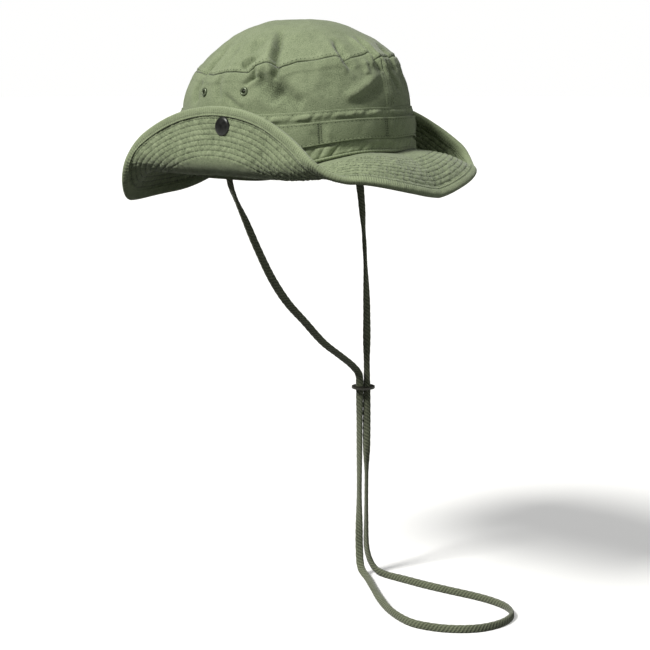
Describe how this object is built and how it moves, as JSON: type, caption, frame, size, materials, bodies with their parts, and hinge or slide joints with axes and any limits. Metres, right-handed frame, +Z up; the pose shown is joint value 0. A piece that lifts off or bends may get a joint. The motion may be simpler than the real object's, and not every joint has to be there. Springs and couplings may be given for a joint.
{
  "type": "boonie hat",
  "caption": "Soft cotton boonie hat: bucket crown with foliage loop band and vents, wide row-stitched brim snapped up at the sides, and a long chin cord with a sliding keeper.",
  "frame": {"origin": "middle of the head opening, level with the brim seam at the front of the hat", "axes": "+Z up out of the crown, -Y towards the front of the hat, +X towards the wearer's left"},
  "size_m": [0.2042, 0.3094, 0.5013],
  "materials": {
    "cotton_canvas": "matt washed cotton, pale olive green, row stitched",
    "cotton_lining": "matt cotton twill",
    "interlining": "plain stiff woven interlining",
    "cord_braid": "matt flat braid",
    "green_metal": "green lacquered eyelets",
    "dark_metal": "satin gunmetal black",
    "slider_leather": "dark matt leather"
  },
  "bodies": {
    "root": {"binding_back": "cotton_canvas", "binding_front": "cotton_canvas", "brim_body_interlining": "interlining", "brim_body_top": "cotton_canvas", "brim_body_under": "cotton_canvas", "brim_seam_piping": "cotton_canvas", "chin_cord": "cord_braid", "cord_tab_left": "cord_braid", "cord_tab_right": "cord_braid", "crown_band": "cotton_canvas", "crown_seam_tape": "cotton_lining", "crown_tip": "cotton_canvas", "foliage_loop_band": "cotton_canvas", "left_fold_binding_back": "cotton_canvas", "left_fold_binding_front": "cotton_canvas", "left_fold_interlining": "interlining", "left_fold_top": "cotton_canvas", "left_fold_under": "cotton_canvas", "right_fold_binding_back": "cotton_canvas", "right_fold_binding_front": "cotton_canvas", "right_fold_interlining": "interlining", "right_fold_top": "cotton_canvas", "right_fold_under": "cotton_canvas", "side_panel_left": "cotton_canvas", "side_panel_right": "cotton_canvas", "snap_post_left": "dark_metal", "snap_post_right": "dark_metal", "snap_stud_left": "dark_metal", "snap_stud_right": "dark_metal", "sweatband": "cotton_lining", "vent_eyelet_left_back": "green_metal", "vent_eyelet_left_front": "green_metal", "vent_eyelet_right_back": "green_metal", "vent_eyelet_right_front": "green_metal", "vent_washer_left_back": "green_metal", "vent_washer_left_front": "green_metal", "vent_washer_right_back": "green_metal", "vent_washer_right_front": "green_metal"},
    "right_flap": {"right_flap_binding": "cotton_canvas", "right_flap_interlining": "interlining", "right_flap_top": "cotton_canvas", "right_flap_under": "cotton_canvas", "snap_cap_right": "dark_metal", "snap_socket_right": "dark_metal"},
    "left_flap": {"left_flap_binding": "cotton_canvas", "left_flap_interlining": "interlining", "left_flap_top": "cotton_canvas", "left_flap_under": "cotton_canvas", "snap_cap_left": "dark_metal", "snap_socket_left": "dark_metal"},
    "cord_slider": {"cord_slider": "slider_leather"}
  },
  "joints": [
    {"name": "right_flap_fold", "type": "hinge", "parent": "root", "child": "right_flap", "pos_m": [-0.09843, 0, -0.00911], "axis": [0, -1, 0], "range_deg": [0, 100], "deforming": ["right_fold_binding_back", "right_fold_binding_front", "right_fold_interlining", "right_fold_top", "right_fold_under"]},
    {"name": "left_flap_fold", "type": "hinge", "parent": "root", "child": "left_flap", "pos_m": [0.09843, 0, -0.00911], "axis": [0, 1, 0], "range_deg": [0, 100], "deforming": ["left_fold_binding_back", "left_fold_binding_front", "left_fold_interlining", "left_fold_top", "left_fold_under"]},
    {"name": "cord_slider_slide", "type": "slide", "parent": "root", "child": "cord_slider", "axis": [0, 0, 1], "range_m": [-0.11, 0]}
  ]
}
